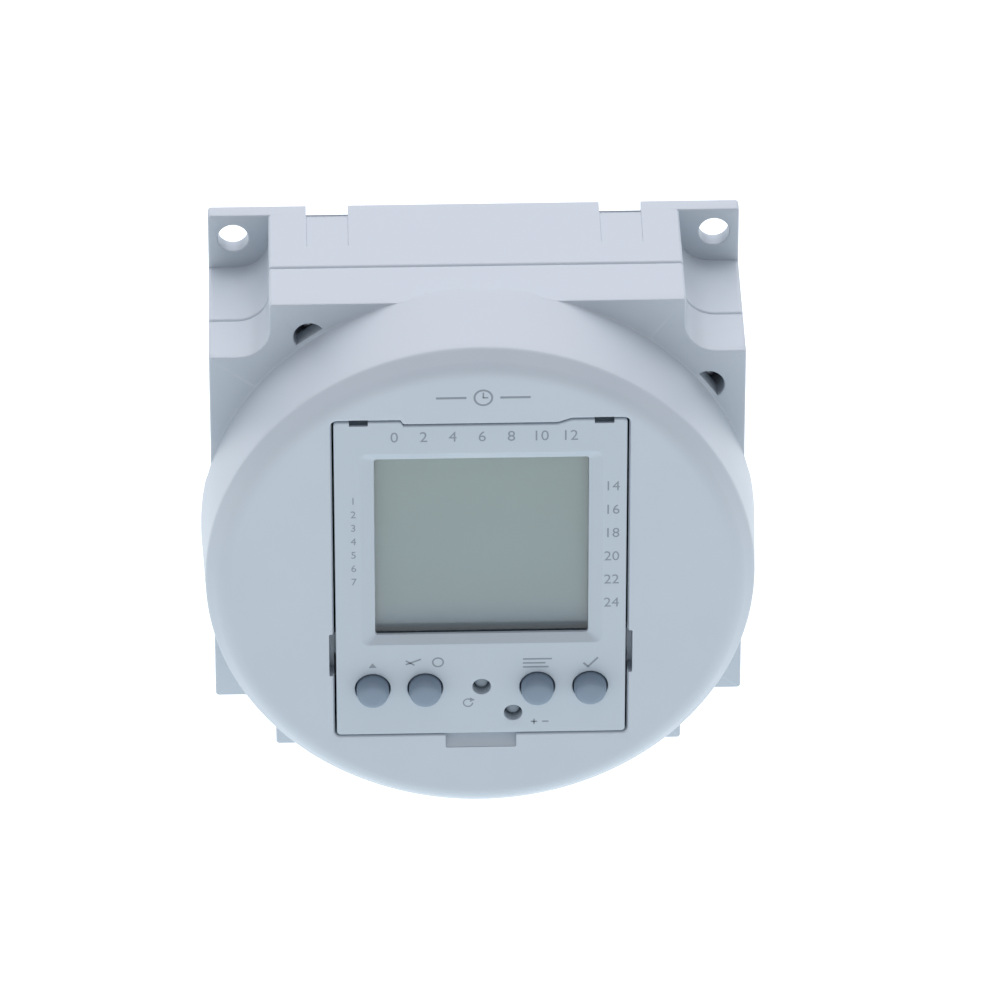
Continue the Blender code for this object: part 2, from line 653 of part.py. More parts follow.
def build():
    grey = finish("moulded_grey", (0.62, 0.69, 0.76), 0.45)
    panel = finish("panel_grey", (0.64, 0.71, 0.77), 0.45)
    cap = finish("key_cap_grey", (0.26, 0.33, 0.40), 0.4)
    pin = finish("key_pin_grey", (0.12, 0.16, 0.18), 0.5)
    black = finish("black_moulding", (0.03, 0.03, 0.035), 0.45)
    clear = finish("clear_polycarbonate", (0.9, 0.93, 0.94), 0.08, alpha=0.35)
    glass = finish("display_glass", (0.30, 0.36, 0.35), 0.12)
    foil = finish("reflector_foil", (0.7, 0.72, 0.7), 0.4, 0.6)
    elastomer = finish("contact_elastomer", (0.08, 0.08, 0.08), 0.7)
    laminate = finish("board_laminate", (0.04, 0.18, 0.08), 0.45)
    chip = finish("chip_epoxy", (0.02, 0.02, 0.02), 0.5)
    steel = finish("bright_steel", (0.62, 0.62, 0.63), 0.3, 1.0)
    copper = finish("enamelled_copper", (0.55, 0.22, 0.08), 0.35, 1.0)
    tin = finish("tinned_brass", (0.72, 0.68, 0.6), 0.3, 1.0)
    film = finish("capacitor_case", (0.75, 0.55, 0.12), 0.4)
    ceramic = finish("component_lacquer", (0.08, 0.2, 0.42), 0.35)
    sleeve = finish("capacitor_sleeve", (0.03, 0.04, 0.08), 0.4)
    front_shell(grey)
    rear_housing(grey)
    rear_cover(grey)
    rail_latch(black)
    latch_spring(steel)
    case_screws(steel)
    panel_frame(panel)
    keys(cap, pin)
    key_switches(black)
    display(clear, glass, foil, black, elastomer)
    logic_side(laminate, chip, steel, steel, black, tin)
    power_side(laminate, film, sleeve, ceramic, chip, tin)
    relay(black, clear, copper, steel, tin)


clear_scene()
PARTS = collection("rail_timer")
TOOLS = collection("cutters")
FRONT = bpy.data.objects.new("front_face", None)
PARTS.objects.link(FRONT)
FRONT.location = (0.0, -SEAT * MM, 0.0)
build()
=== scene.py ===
"""Rail timer: a square grey case with a round front, a timer insert with a display, four keys and two
recessed pins, screw ears behind, a rail foot and five tabs.

All shapes are worked out in millimetres as (x, depth behind the front face, z) and turned to metres
where a mesh is made. The sections follow the order in which the timer is put together.
"""

import bmesh
import bpy
import numpy as np
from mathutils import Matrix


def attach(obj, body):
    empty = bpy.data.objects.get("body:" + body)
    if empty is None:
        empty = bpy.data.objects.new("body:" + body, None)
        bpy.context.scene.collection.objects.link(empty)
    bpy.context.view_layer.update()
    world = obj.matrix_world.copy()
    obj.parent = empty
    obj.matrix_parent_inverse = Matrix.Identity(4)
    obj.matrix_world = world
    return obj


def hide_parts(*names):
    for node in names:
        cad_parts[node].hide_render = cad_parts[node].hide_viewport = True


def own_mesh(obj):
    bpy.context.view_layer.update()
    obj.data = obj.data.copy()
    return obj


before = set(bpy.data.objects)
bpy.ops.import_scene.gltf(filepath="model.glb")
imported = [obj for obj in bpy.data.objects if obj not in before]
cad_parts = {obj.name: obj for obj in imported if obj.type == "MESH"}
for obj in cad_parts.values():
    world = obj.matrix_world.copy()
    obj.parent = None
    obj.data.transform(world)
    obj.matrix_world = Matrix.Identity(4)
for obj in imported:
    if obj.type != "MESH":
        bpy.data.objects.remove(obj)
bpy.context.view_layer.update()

# ---------------------------------------------------------------- front shell
# Round front, flange and the front half of the case, moulded in one from light grey ABS.
# The face blends softly into a 48 degree rim, the side tapers 0.5 mm, and the four corners are
# notched for the ear screws. Four self-tapping screws join it to the rear housing from behind.

SEAT = 31.3                # depth of the rail seat, where the origin is
HALF = 33.0                # half width of the case
FLANGE = 13.6              # depth of the flange's front
FRONT_R = 34.4             # radius of the round front where it meets the flange
RIM = (30.66, 2.737)       # radius where the face bends into the rim, and the bend's own radius
INNER_R = 30.6             # radius inside the round front
FACE_WALL, WALL = 2.5, 2.0
NOTCH = (25.5, 25.4)       # where the corner notches start, sideways and upwards
NOTCH_R = 4.0
CORNER = 0.4
SCREWS = ((-20.6, 28.2), (28.4, 20.35), (20.6, -28.2), (-28.4, -20.35))
BOSS_R, BORE_R = 3.3, 1.95


def arc(centre, radius, start, stop, steps):
    """Points of a circle: centre plus radius times (cosine, sine) of evenly spaced degrees."""
    turn = np.radians(np.linspace(start, stop, steps))
    return np.stack([centre[0] + radius * np.cos(turn), centre[1] + radius * np.sin(turn)], axis=1)


def four_ways(quarter):
    """A closed outline from its first quarter: the quarter, then its mirror images in turn."""
    back = quarter[::-1]
    return np.concatenate([quarter[:-1], (back * (-1, 1))[:-1], (-quarter)[:-1], (back * (1, -1))[:-1]])


def case_outline(inset=0.0):
    """The notched square, moved inwards by inset. Its straight sides are sampled at even angles
    (half the width times a tangent), its outer corners are 0.4 mm arcs and its inner ones 4 mm."""
    half, nx, nz = HALF - inset, NOTCH[0] - inset, NOTCH[1] - inset
    outer, inner = max(CORNER - inset, 0.05), NOTCH_R + inset
    side = half * np.tan(np.linspace(0, np.arctan((nz - outer) / half), 28))
    top = half * np.tan(np.linspace(np.arctan((nx - outer) / half), 0, 28))
    return four_ways(np.concatenate([
        np.stack([np.full(28, half), side], axis=1),
        arc((half - outer, nz - outer), outer, 0, 90, 6)[1:],
        np.stack([np.linspace(half - outer, nx + inner, 6), np.full(6, nz)], axis=1)[1:],
        arc((nx + inner, nz + inner), inner, 270, 180, 9)[1:],
        np.stack([np.full(6, nx), np.linspace(nz + inner, half - outer, 6)], axis=1)[1:],
        arc((nx - outer, half - outer), outer, 0, 90, 6)[1:],
        np.stack([top, np.full(28, half)], axis=1)[1:]]))


def at_depth(outline, depth):
    """An outline of (x, z) carried to a depth, one value or one per point: (x, depth, z)."""
    return np.stack([outline[:, 0], np.broadcast_to(depth, len(outline)), outline[:, 1]], axis=1)


def skin(shells):
    """Corners and faces of tubes. Each shell is loops of equal length: point (i, j) is joined to
    (i + 1, j) and (i, j + 1). A closed one joins its last loop to its first, an open one is capped."""
    points, faces, start = [], [], 0
    for loops, closed in shells:
        loops = np.asarray(loops, float)
        rows, count = loops.shape[:2]
        i, j = np.meshgrid(np.arange(rows if closed else rows - 1), np.arange(count), indexing="ij")
        i2, j2 = (i + 1) % rows, (j + 1) % count
        quads = np.stack([i * count + j, i * count + j2, i2 * count + j2, i2 * count + j], axis=-1)
        faces += (quads.reshape(-1, 4) + start).tolist()
        if not closed:
            faces += [list(range(start, start + count)),
                      list(range(start + (rows - 1) * count, start + rows * count))]
        points.append(loops.reshape(-1, 3))
        start += rows * count
    return np.concatenate(points), faces


def solid(name, shells):
    """A mesh object from closed shells in millimetres, with doubles merged and faces turned outwards."""
    points, faces = skin(shells)
    mesh = bpy.data.meshes.new(name)
    mesh.from_pydata(((points - (0.0, SEAT, 0.0)) / 1000.0).tolist(), [], faces)
    bm = bmesh.new()
    bm.from_mesh(mesh)
    bmesh.ops.remove_doubles(bm, verts=bm.verts, dist=2e-7)
    bmesh.ops.dissolve_degenerate(bm, edges=bm.edges, dist=1e-7)
    bmesh.ops.recalc_face_normals(bm, faces=bm.faces)
    bm.to_mesh(mesh)
    bm.free()
    obj = bpy.data.objects.new(name, mesh)
    bpy.context.scene.collection.objects.link(obj)
    return obj


def settle(obj, material, body, slot, *nodes):
    """Shades a piece smoothly but for edges over 35 degrees, gives it its material, ties it to its body and
    hides the nodes it stands for. The slot is not used."""
    obj.data.shade_smooth()
    obj.data.set_sharp_from_angle(angle=np.radians(35))
    weighted = obj.modifiers.new("even_shading", "WEIGHTED_NORMAL")
    weighted.keep_sharp = True
    obj.data.materials.clear()
    obj.data.materials.append(material)
    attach(obj, body)
    if nodes:
        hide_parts(*nodes)


def cut(obj, cutters, operation="DIFFERENCE"):
    """Takes the cutters out of a piece, or joins them on, for good, and removes them."""
    for cutter in cutters:
        modifier = obj.modifiers.new("cut", "BOOLEAN")
        modifier.solver, modifier.operation, modifier.object = "EXACT", operation, cutter
    bpy.context.view_layer.update()
    made = bpy.data.meshes.new_from_object(obj.evaluated_get(bpy.context.evaluated_depsgraph_get()))
    obj.modifiers.clear()
    obj.data = made
    for cutter in cutters:
        bpy.data.objects.remove(cutter, do_unlink=True)


def turned(profile, centre=(0.0, 0.0), sides=40):
    """Loops of a turned shape: a profile of (radius, depth) carried round the axis at centre (x, z)."""
    profile = np.asarray(profile, float)
    turn = np.linspace(0, 2 * np.pi, sides, endpoint=False)
    ring = np.stack([np.cos(turn), np.sin(turn)], axis=1)
    flat = profile[:, :1, None] * ring[None] + np.asarray(centre)
    depth = np.broadcast_to(profile[:, 1:2], flat.shape[:2])
    return np.stack([flat[..., 0], depth, flat[..., 1]], axis=-1)


def hole(x, z, radius, low, high, lead):
    """A cutter for a round hole from depth low to high with its front edge rounded by lead."""
    bend = arc((0.0, 0.0), lead, 90, 0, 4)
    lip = [(radius + lead - px, low + lead - pz) for px, pz in bend]
    profile = [(radius + lead, low - 1.0)] + lip + [(radius, high)]
    return solid("cutter", [(turned(profile, (x, z)), False)])


def boss(x, z, low, high):
    """A cylinder for a case screw from depth low to high."""
    return solid("boss", [(turned([(BOSS_R, low), (BOSS_R, high)], (x, z)), False)])


def plate_loop(x, z, corner, lift=0.0):
    """A rectangle over the ranges x and z with arcs at its corners, sampled evenly along each side.
    Its top edge rises by lift towards both ends, at a step on the left and over a slope on the right."""
    (x0, x1), (z0, z1), corner = x, z, max(corner, 0.05)
    side = np.linspace(z0 + corner, z1 - corner, 60)
    across = np.linspace(x1 - corner, x0 + corner, 145)
    loop = np.concatenate([
        np.stack([np.full(60, x1), side], axis=1),
        arc((x1 - corner, z1 - corner), corner, 0, 90, 6)[1:-1],
        np.stack([across, np.full(145, z1)], axis=1),
        arc((x0 + corner, z1 - corner), corner, 90, 180, 6)[1:-1],
        np.stack([np.full(60, x0), side[::-1]], axis=1),
        arc((x0 + corner, z0 + corner), corner, 180, 270, 6)[1:-1],
        np.stack([across[::-1], np.full(145, z0)], axis=1),
        arc((x1 - corner, z0 + corner), corner, 270, 360, 6)[1:-1]])
    rise = np.interp(loop[:, 0], [-9.7, -9.4, 9.4, 11.1], [1.0, 0.0, 0.0, 1.0])
    loop[:, 1] += lift * rise * (loop[:, 1] > 20)
    return loop


INSERT_X, INSERT_Z = 17.9, (-22.05, 23.95)
SHOULDER = 0.6             # the insert's top corners stand this much higher


def insert_loop(inset, corner, lift=0.0):
    """The timer insert's outline, moved inwards by inset."""
    return plate_loop((-INSERT_X + inset, INSERT_X - inset),
                      (INSERT_Z[0] + inset, INSERT_Z[1] - inset), corner, lift)


outline = case_outline()
inwards = (outline - case_outline(0.1)) / 0.1
reach = np.linalg.norm(outline, axis=1)
ray = outline / reach[:, None]
past = reach - FRONT_R                    # how far the case stands out past the round front
fillet = np.clip(past / 2, 0, 0.25)[:, None]
under = FLANGE + np.clip(-past / 0.4 - 1, 0, 1)
loops = [at_depth(ray * radius, depth) for radius, depth in (
    (0.0, 0.0), (10.0, 0.0), (20.0, 0.0), (28.0, 0.0), (30.2, 0.0))]
for turn in np.radians(np.linspace(0, 48, 9)):
    loops.append(at_depth(ray * (RIM[0] + RIM[1] * np.sin(turn)), RIM[1] * (1 - np.cos(turn))))
for radius, depth in ((33.55, 1.88), (33.68, 2.03), (33.79, 2.2), (33.86, 2.42), (33.9, 3.2), (34.3, 11.6)):
    loops.append(at_depth(ray * radius, depth))
loops.append(at_depth(ray * FRONT_R, FLANGE - fillet[:, 0]))
loops.append(at_depth(ray * (FRONT_R + 0.3 * fillet), FLANGE - 0.3 * fillet[:, 0]))
loops.append(at_depth(ray * (FRONT_R + fillet), np.where(past > 0, FLANGE, under - 0.12)))
edge = np.where(past[:, None] > 0, outline - inwards * fillet, ray * 34.28)
loops.append(at_depth(edge, np.where(past > 0, FLANGE, under)))
edge = np.where(past[:, None] > 0, outline - inwards * fillet * 0.3, outline)
loops.append(at_depth(edge, np.where(past > 0, FLANGE + 0.3 * fillet[:, 0], under)))
loops.append(at_depth(outline, np.where(past > 0, FLANGE + fillet[:, 0], under + 0.02)))
for inset, depth in ((0.0, 15.0), (0.0, 21.55), (0.0, 21.65), (0.06, 21.8), (0.22, 21.93),
                     (WALL, 21.93), (WALL, 15.6)):
    loops.append(at_depth(case_outline(inset), depth))
for radius, depth in ((INNER_R, 15.6), (INNER_R, FACE_WALL), (0.0, FACE_WALL)):
    loops.append(at_depth(ray * radius, depth))
front_shell = solid("front_shell_moulding", [(loops, False)])


def opening_loop(out, corner):
    """The opening's outline: the insert's, moved outwards by out, and by 0.15 mm less above and below."""
    return plate_loop((-INSERT_X - out, INSERT_X + out), (-21.9 - out, 23.8 + out), corner, SHOULDER)


opening = [at_depth(opening_loop(0.6, 0.8), -1.0)]
for turn in np.radians(np.linspace(0, 90, 5)):
    opening.append(at_depth(opening_loop(0.6 - 0.25 * np.sin(turn), 0.8), 0.25 * (1 - np.cos(turn)) - 0.001))
opening += [at_depth(opening_loop(0.35, 0.6), 0.55), at_depth(opening_loop(0.24, 0.4), 0.6),
            at_depth(opening_loop(0.24, 0.4), 4.0)]


def block(x, depth, z, corner, slope=0.0):
    """A cutter with the given ranges: a rectangle with rounded corners carried along the depth. Its end
    is level, or deeper by slope at its top edge than at its bottom one."""
    (x0, x1), (z0, z1) = x, z
    loop = np.concatenate([arc((cx, cz), corner, start, start + 90, 5) for cx, cz, start in (
        (x1 - corner, z1 - corner, 0), (x0 + corner, z1 - corner, 90),
        (x0 + corner, z0 + corner, 180), (x1 - corner, z0 + corner, 270))])
    end = depth[1] + slope * (loop[:, 1] - z0) / (z1 - z0)
    return solid("cutter", [([at_depth(loop, depth[0]), at_depth(loop, end)], False)])


cut(front_shell, [boss(x, z, 14.8, 21.7) for x, z in SCREWS], "UNION")
# The round front stays whole where a bore runs into its side.
bores = [hole(x, z, BORE_R, FLANGE, 23.0, 0.2) for x, z in SCREWS]
for bore in bores:
    cut(bore, [solid("collar", [(turned([(35.0, 10.0), (35.0, 16.0)], sides=96), False)])])
cut(front_shell, [solid("cutter", [(opening, False)])] + bores
    + [block(x, (-1.0, 2.4), (-13.1, -6.8), 0.2) for x in ((-18.75, -17.5), (17.5, 18.75))]
    + [block(x, (-1.0, 3.4), (24.0, 24.9), 0.15) for x in ((-16.1, -13.6), (13.8, 16.4))]
    + [block((-4.4, 4.4), (-1.0, 0.1), (-24.2, -21.9), 0.2, 1.7)])


def colour(code):
    """A linear colour from an sRGB hex code: c / 12.92 below 0.04045, else ((c + 0.055) / 1.055) ** 2.4."""
    value = np.array([int(code[i:i + 2], 16) for i in (1, 3, 5)]) / 255.0
    return (*np.where(value <= 0.04045, value / 12.92, ((value + 0.055) / 1.055) ** 2.4), 1.0)


def add(tree, kind, inputs=(), **settings):
    """Adds a node: settings are its own options, inputs give a socket a value or the output
    that feeds it."""
    node = tree.nodes.new(kind)
    for name, value in settings.items():
        setattr(node, name, value)
    for name, value in dict(inputs).items():
        if isinstance(value, bpy.types.NodeSocket):
            tree.links.new(value, node.inputs[name])
        else:
            node.inputs[name].default_value = value
    return node


def begin(name, **constants):
    """A new material: its node tree, its shader with the constants set, and Object coordinates."""
    material = bpy.data.materials.new(name)
    material.use_nodes = True
    tree = material.node_tree
    shader = tree.nodes["Principled BSDF"]
    for socket, value in constants.items():
        shader.inputs[socket.replace("_", " ")].default_value = value
    return material, tree, shader, add(tree, "ShaderNodeTexCoord").outputs["Object"]


def toned(tree, shader, factor, dark, light):
    """The shader's colour, mixed from two hex codes by a factor."""
    tone = add(tree, "ShaderNodeMix", {"Factor": factor, 6: colour(dark), 7: colour(light)}, data_type="RGBA")
    tree.links.new(tone.outputs[2], shader.inputs["Base Color"])


def embossed(tree, shader, height, strength, distance):
    """The shader's relief, from a height texture and a distance in metres."""
    bump = add(tree, "ShaderNodeBump", {"Height": height, "Strength": strength, "Distance": distance})
    tree.links.new(bump.outputs["Normal"], shader.inputs["Normal"])


def moulded(name, light, dark, roughness, ior, grain=0.22, relief=0.012):
    """Injection moulded plastic. A fine spark-eroded grain of the given size in millimetres breaks up
    the sheen, and flow in the mould leaves faint cloudy patches about 9 mm across."""
    material, tree, shader, where = begin(name, IOR=ior)
    cloud = add(tree, "ShaderNodeTexNoise", {"Vector": where, "Scale": 110.0, "Detail": 3.0,
                                             "Roughness": 0.55})
    toned(tree, shader, cloud.outputs["Fac"], dark, light)
    fine = add(tree, "ShaderNodeTexNoise", {"Vector": where, "Scale": 1000.0 / grain, "Detail": 2.0})
    gloss = add(tree, "ShaderNodeMapRange", {"Value": cloud.outputs["Fac"], "From Min": 0.3, "From Max": 0.7,
                                             "To Min": roughness - 0.04, "To Max": roughness + 0.05})
    tree.links.new(gloss.outputs["Result"], shader.inputs["Roughness"])
    embossed(tree, shader, fine.outputs["Fac"], 0.5, relief / 1000.0)
    return material


# ABS with a satin spark-eroded finish: cool light grey, soft broad highlights.
grey_abs = moulded("moulded_abs_light_grey", "#b9c3cc", "#b2bdc7", 0.42, 1.54)
settle(front_shell, grey_abs, "case", "moulded_grey", "front_shell")

# ---------------------------------------------------------------- rear housing
# The rear half of the case: the same ABS, a square ring 2 mm thick whose corners run out into four
# screw ears at the back. Its front edge meets the shell at a rounded seam, and slots in its walls
# let the tabs, the rail and the rail foot through.

EAR_FRONT, REAR = 34.1, 36.3
EAR_HOLE, EAR_HOLE_R = (29.9, 29.65), 1.9
SIDE_SLOTS = ((-20.8, -15.6), (15.6, 20.8))
TABS = (-19.5, -11.25, -3.0, 5.25, 13.5)


def eared_outline(inset=0.0):
    """The full square at the ears, with as many points as the case outline: along each notch's
    first wall it follows the side, round its inner arc the 0.4 mm corner, then the next side."""
    half, nx, nz = HALF - inset, NOTCH[0] - inset, NOTCH[1] - inset
    corner = CORNER - inset
    quarter = case_outline(inset)[:83].copy()
    turn = arc((half - corner, half - corner), corner, 0, 90, 9)
    quarter[27:38] = np.stack([np.full(11, half), np.linspace(nz - 0.6, half - corner, 11)], axis=1)
    quarter[37:46] = turn
    quarter[45:56] = np.stack([np.linspace(half - corner, nx - 0.6, 11), np.full(11, half)], axis=1)
    return four_ways(quarter)


square = eared_outline()
ear = np.linalg.norm(square - outline, axis=1)
soft = np.clip(ear / 2.0, 0, 1)[:, None] * 0.25
square_inwards = (square - eared_outline(0.1)) / 0.1
loops = [at_depth(case_outline(inset), depth) for inset, depth in (
    (WALL, 22.07), (0.22, 22.07), (0.06, 22.2), (0.0, 22.35), (0.0, 22.5), (0.0, 33.9), (0.0, EAR_FRONT))]
loops += [at_depth(square - square_inwards * soft, EAR_FRONT),
          at_depth(square - square_inwards * soft * 0.3, 34.17),
          at_depth(square, 34.35), at_depth(square, 36.0)]
for turn in np.radians(np.linspace(30, 90, 3)):
    loops.append(at_depth(eared_outline(0.3 * (1 - np.cos(turn))), 36.0 + 0.3 * np.sin(turn)))
loops.append(at_depth(case_outline(WALL), REAR))
rear_housing = solid("rear_housing_moulding", [(loops, True)])
cut(rear_housing, [boss(x, z, 22.3, 27.0) for x, z in SCREWS], "UNION")
cut(rear_housing, [hole(x, z, BORE_R, 21.0, 28.0, 0.1) for x, z in SCREWS]
    + [hole(x, z, 2.6, 27.0, 29.3, 0.01) for x, z in SCREWS])
cut(rear_housing,
    [hole(sx * EAR_HOLE[0], sz * EAR_HOLE[1], EAR_HOLE_R, EAR_FRONT, 38.0, 0.15)
     for sx in (-1, 1) for sz in (-1, 1)]
    + [block(x, (26.8, 33.9), (32.88, 34.0), 0.1) for x in SIDE_SLOTS]
    + [block(x, (34.0, 38.0), z, 0.1) for x in SIDE_SLOTS for z in ((30.5, 34.0), (-34.0, -30.5))]
    + [block((-34.0, 34.0), (31.0, 38.1), (-20.2, 20.2), 0.1),
       block((-6.3, 6.3), (32.3, 38.2), (-34.1, -29.9), 0.1)]
    + [block((x - 3.45, x + 3.45), (25.6, 27.0), (-34.2, -29.8), 0.1) for x in TABS])
settle(rear_housing, grey_abs, "case", "moulded_grey", "rear_housing")

# ---------------------------------------------------------------- rear cover
# The back plate, moulded in the same ABS, snaps into the rear housing and carries the rail channel
# with its two fixed hooks. Its edges are broken by 0.2 mm, as the mould leaves them.


def broken_edges(node, width, material):
    """Rounds the edges of a CAD node with live modifiers and gives it its finish."""
    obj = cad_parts[node]
    weld = obj.modifiers.new("weld", "WELD")
    weld.merge_threshold = 1e-6
    bevel = obj.modifiers.new("broken_edges", "BEVEL")
    bevel.width, bevel.segments, bevel.limit_method = width / 1000.0, 2, "ANGLE"
    bevel.angle_limit = np.radians(40)
    bevel.harden_normals = True
    obj.data.materials.clear()
    obj.data.materials.append(material)


broken_edges("rear_cover", 0.2, grey_abs)

# ---------------------------------------------------------------- timer insert
# The insert's front: one moulding, a 2 mm plate with a bevelled window and six key holes, and a
# skirt 13 mm deep that slides into the case. A slightly finer grain than the case's.

WINDOW_X, WINDOW_Z = (-13.0, 13.25), (-7.33, 18.69)
BEVEL = (1.7, 1.18)        # width of the window's bevel at the sides, and above and below


def window_loop(share):
    """The window's outline, moved outwards by a share of its bevel."""
    out, up = BEVEL[0] * share, BEVEL[1] * share
    return plate_loop((WINDOW_X[0] - out, WINDOW_X[1] + out), (WINDOW_Z[0] - up, WINDOW_Z[1] + up),
                      0.35 + share * 0.5)


loops = [at_depth(window_loop(share), depth) for share, depth in (
    (0.0, 1.0), (0.0, 0.74), (0.03, 0.65), (0.94, 0.05), (1.0, 0.01), (1.06, 0.0))]
for turn in np.radians(np.linspace(0, 90, 5)):
    loops.append(at_depth(insert_loop(0.2 * (1 - np.sin(turn)), 0.5, SHOULDER), 0.2 * (1 - np.cos(turn))))
lens_pocket = plate_loop((-15.5, 15.5), (-9.3, 21.2), 0.4)
loops += [at_depth(insert_loop(0.0, 0.5, SHOULDER), 1.9), at_depth(insert_loop(0.0, 0.5), 1.9),
          at_depth(insert_loop(0.0, 0.5), 13.0), at_depth(insert_loop(1.0, 0.3), 13.0),
          at_depth(insert_loop(1.0, 0.3), 2.0), at_depth(lens_pocket, 2.0), at_depth(lens_pocket, 1.0)]
panel = solid("insert_front", [(loops, True)])
KEYS = (("up", -13.4, -15.1), ("override", -6.9, -15.1), ("menu", 7.0, -15.1), ("ok", 13.55, -15.1))
PINS = (("reset_pin", "reset_key", 0.1, -15.0), ("hour_shift_pin", "hour_shift_key", 4.0, -19.0))
cut(panel, [block(x, (2.8, 4.0), (-11.5, -8.4), 0.1) for x in ((-19.3, -17.4), (17.4, 19.3))], "UNION")
cut(panel, [hole(x, z, 2.2, 0.0, 3.0, 0.12) for _, x, z in KEYS]
    + [hole(x, z, 1.15, 0.0, 3.0, 0.08) for _, _, x, z in PINS]
    + [block(x, depth, z, 0.1) for x in ((-16.0, -13.7), (13.9, 16.3))
       for depth, z in (((-1.0, 2.1), (24.0, 26.0)), ((0.3, 2.1), (23.2, 24.2)))])
panel_abs = moulded("moulded_abs_insert_grey", "#b4c0c9", "#aebac4", 0.38, 1.54, grain=0.18, relief=0.008)
settle(panel, panel_abs, "case", "panel_grey", "panel_frame")

# ---------------------------------------------------------------- display
# A clear polycarbonate window over a reflective liquid crystal cell. The cell is a flat grey green sheet
# whose colour is painted darker over its lowest 5 mm: painted shade, where the frame in front of it keeps the
# light out.


def slab(name, x, depth, z, edge, corner):
    """A flat plate with its long edges rounded over by edge and its corners by corner."""
    loops = []
    for turn in np.radians(np.linspace(0, 90, 4)):
        back = edge * (1 - np.sin(turn))
        loops.append(at_depth(plate_loop((x[0] + back, x[1] - back), (z[0] + back, z[1] - back), corner),
                              depth[0] + edge * (1 - np.cos(turn))))
    mirror = [np.stack([loop[:, 0], depth[0] + depth[1] - loop[:, 1], loop[:, 2]], axis=1) for loop in loops]
    return solid(name, [(loops + mirror[::-1], False)])


# Polycarbonate, injection moulded and polished: clear, glossy, with the faintest flow waves.
clear, tree, shader, where = begin("polished_polycarbonate", IOR=1.585, Roughness=0.03,
                                   Transmission_Weight=1.0)
shader.inputs["Base Color"].default_value = colour("#f2f6f5")
wave = add(tree, "ShaderNodeTexNoise", {"Vector": where, "Scale": 160.0, "Detail": 1.0})
embossed(tree, shader, wave.outputs["Fac"], 0.05, 0.00002)
settle(slab("display_window", (-15.2, 15.2), (1.05, 2.5), (-9.0, 20.9), 0.12, 0.5),
       clear, "case", "clear_window", "lcd_window")

# Polariser film on glass: satin, grey green, a fine rubbed grain from the alignment layer.
glass, tree, shader, where = begin("polariser_on_glass", IOR=1.5, Roughness=0.32)
axes = add(tree, "ShaderNodeSeparateXYZ", {"Vector": where})
ramp = add(tree, "ShaderNodeValToRGB", {"Fac": add(tree, "ShaderNodeMapRange", {
    "Value": axes.outputs["Z"], "From Min": -0.0090, "From Max": 0.0170}).outputs["Result"]})
# Painted shade: the low stops of this ramp paint the cell darker towards its bottom edge, where the frame
# shades it.
for place, code in ((0.019, "#4a6a80"), (0.048, "#486680"), (0.056, "#5a768a"), (0.082, "#6a879c"),
                    (0.105, "#7b93a6"), (0.139, "#8fa4b2"), (0.184, "#9eb1b9"), (0.241, "#a3b6bc"),
                    (0.481, "#a6bbbe")):
    ramp.color_ramp.elements.new(place).color = colour(code)
ramp.color_ramp.elements[-1].color = colour("#a6bab8")
ramp.color_ramp.elements.remove(ramp.color_ramp.elements[0])
stretch = add(tree, "ShaderNodeMapping", {"Vector": where, "Scale": (4000.0, 1.0, 250.0)})
rubbed = add(tree, "ShaderNodeTexNoise", {"Vector": stretch.outputs["Vector"], "Scale": 1.0, "Detail": 2.0})
tint = add(tree, "ShaderNodeMix", {"Factor": add(tree, "ShaderNodeMapRange", {
    "Value": rubbed.outputs["Fac"], "To Max": 0.06}).outputs["Result"],
    6: ramp.outputs["Color"], 7: colour("#c9d2d2")}, data_type="RGBA")
tree.links.new(tint.outputs[2], shader.inputs["Base Color"])
settle(slab("liquid_crystal_cell", (-15.2, 15.2), (2.8, 4.9), (-9.5, 21.2), 0.1, 0.2),
       glass, "case", "display_glass", "lcd_cell")

# ---------------------------------------------------------------- keys
# Four round caps 4 mm across that stand 1.9 mm out, and two pins sunk in their holes that are
# pressed with a pen. Each is one polyamide moulding with a collar that holds it in and a stem.

cap = [(0.0, -1.9), (0.9, -1.88), (1.35, -1.8), (1.62, -1.66), (1.84, -1.42), (1.95, -1.1), (2.0, -0.6),
       (2.06, 2.45), (2.1, 2.5), (2.8, 2.5), (2.85, 2.55), (2.85, 3.45), (2.8, 3.5), (1.0, 3.5),
       (1.0, 8.55), (0.95, 8.6), (0.0, 8.6)]
pin = [(0.0, 0.9), (0.45, 0.92), (0.7, 1.0), (0.82, 1.15), (0.85, 1.4), (0.85, 2.5), (1.65, 2.5), (1.7, 2.55),
       (1.7, 3.45), (1.65, 3.5), (0.8, 3.5), (0.8, 8.55), (0.75, 8.6), (0.0, 8.6)]
key_nylon = moulded("moulded_polyamide_slate_grey", "#788a9c", "#708293", 0.45, 1.53, grain=0.16, relief=0.01)
pin_nylon = moulded("moulded_polyamide_grey", "#8a969f", "#808c96", 0.5, 1.53, grain=0.16, relief=0.01)
for name, x, z in KEYS:
    settle(solid(f"{name}_key_cap", [(turned(cap, (x, z), 64), False)]),
           key_nylon, f"{name}_key", "key_grey", f"{name}_button")
for node, body, x, z in PINS:
    settle(solid(f"{body}_plunger", [(turned(pin, (x, z)), False)]), pin_nylon, body, "pin_grey", node)

# ---------------------------------------------------------------- printed marks
# Pad printed in thin mid grey ink: the hour scale round the window, day numbers down its left side,
# plain pictures beside the keys and a clock sign above the insert. The ink stands 0.012 mm proud.

ink = moulded("pad_printing_ink_grey", "#858f99", "#7d8791", 0.5, 1.5, grain=0.1, relief=0.004)


def film(name, outlines):
    """Flat marks on the face: each closed outline of (x, z) becomes a film that stands 0.012 mm proud."""
    shells = []
    for mark in outlines:
        mark = np.asarray(mark, float)
        shells.append(([at_depth(mark, -0.012), at_depth(mark, 0.005)], False))
    settle(solid(name, shells), ink, "case", "panel_grey")


